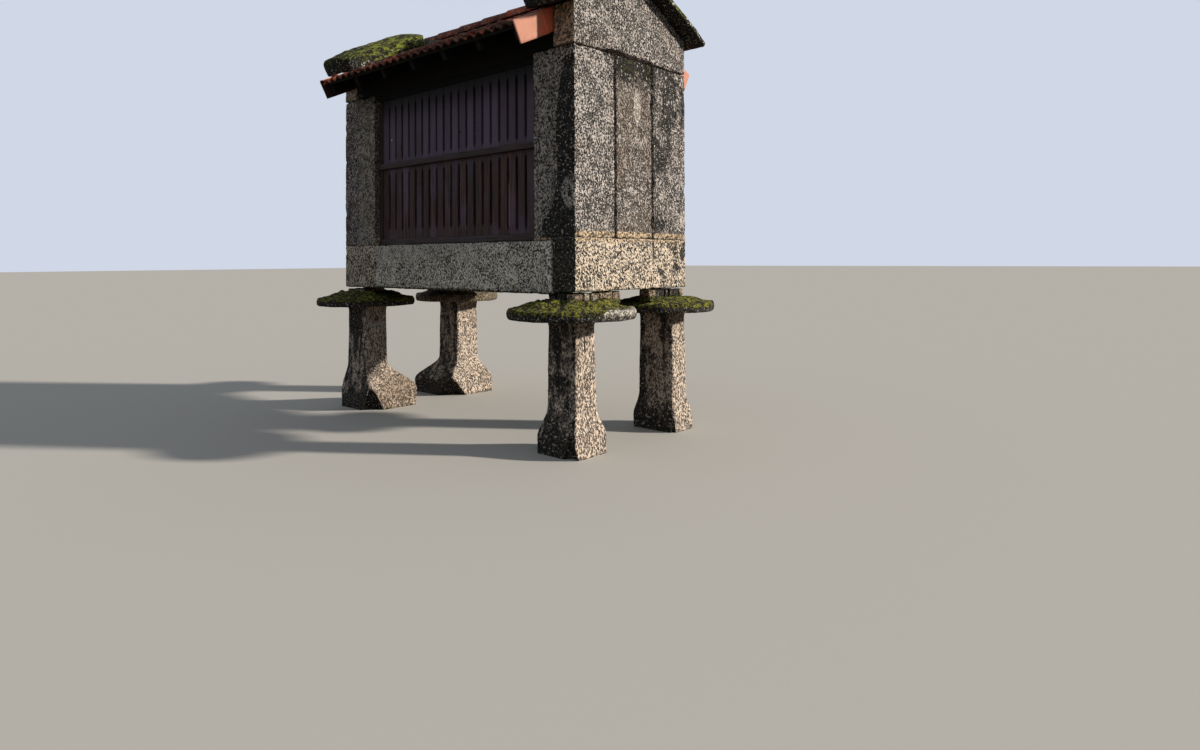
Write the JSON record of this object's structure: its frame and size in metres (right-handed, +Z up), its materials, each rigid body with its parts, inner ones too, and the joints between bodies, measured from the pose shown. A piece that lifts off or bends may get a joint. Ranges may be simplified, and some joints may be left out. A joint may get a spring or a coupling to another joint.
{
  "type": "raised granary",
  "caption": "Granite granary raised on mushroom-capped pillars, with slotted timber sides and a tiled roof weighed down by stone slabs.",
  "frame": {"origin": "on the ground under the middle of the building", "axes": "+X along the building to its right end wall, -Y out of the front long side, +Z up"},
  "size_m": [4.242, 2.406, 4.2268],
  "materials": {
    "pillar_granite": "hewn, rough",
    "mossy_granite": "rough, lichen and moss on top",
    "roof_stone": "rough, dark lichen and green moss",
    "packing_stone": "rough rubble",
    "sill_granite": "hewn, peck marks",
    "wall_granite": "hewn, lichen stains",
    "floor_granite": "rough split",
    "weathered_oak": "old dark stain, weathered",
    "roof_timber": "sawn, old",
    "old_terracotta": "fired clay, lichen",
    "new_terracotta": "fired clay, newer"
  },
  "bodies": {
    "root": {"battens": "roof_timber", "cap_back_left": "mossy_granite", "cap_back_right": "mossy_granite", "cap_front_left": "mossy_granite", "cap_front_right": "mossy_granite", "end_slab_left_back": "wall_granite", "end_slab_left_front": "wall_granite", "end_slab_left_middle": "wall_granite", "end_slab_right_back": "wall_granite", "end_slab_right_front": "wall_granite", "end_slab_right_middle": "wall_granite", "floor_slabs": "floor_granite", "frame_back": "weathered_oak", "frame_front": "weathered_oak", "gable_left": "wall_granite", "gable_right": "wall_granite", "jamb_back_left": "wall_granite", "jamb_back_right": "wall_granite", "jamb_front_left": "wall_granite", "jamb_front_right": "wall_granite", "packing_back_left": "packing_stone", "packing_back_right": "packing_stone", "packing_front_left": "packing_stone", "packing_front_right": "packing_stone", "pillar_back_left": "pillar_granite", "pillar_back_right": "pillar_granite", "pillar_front_left": "pillar_granite", "pillar_front_right": "pillar_granite", "rafters": "roof_timber", "ridge_beam": "roof_timber", "ridge_tiles": "old_terracotta", "roof_slab_back_left": "roof_stone", "roof_slab_back_right": "roof_stone", "roof_slab_front_left": "roof_stone", "roof_slab_front_right": "roof_stone", "sill_back": "sill_granite", "sill_front": "sill_granite", "sill_left": "sill_granite", "sill_right": "sill_granite", "slats_back": "weathered_oak", "slats_front": "weathered_oak", "tiles_back": "old_terracotta", "tiles_front": "old_terracotta", "verge_tiles": "new_terracotta", "wall_plates": "roof_timber"}
  },
  "joints": []
}
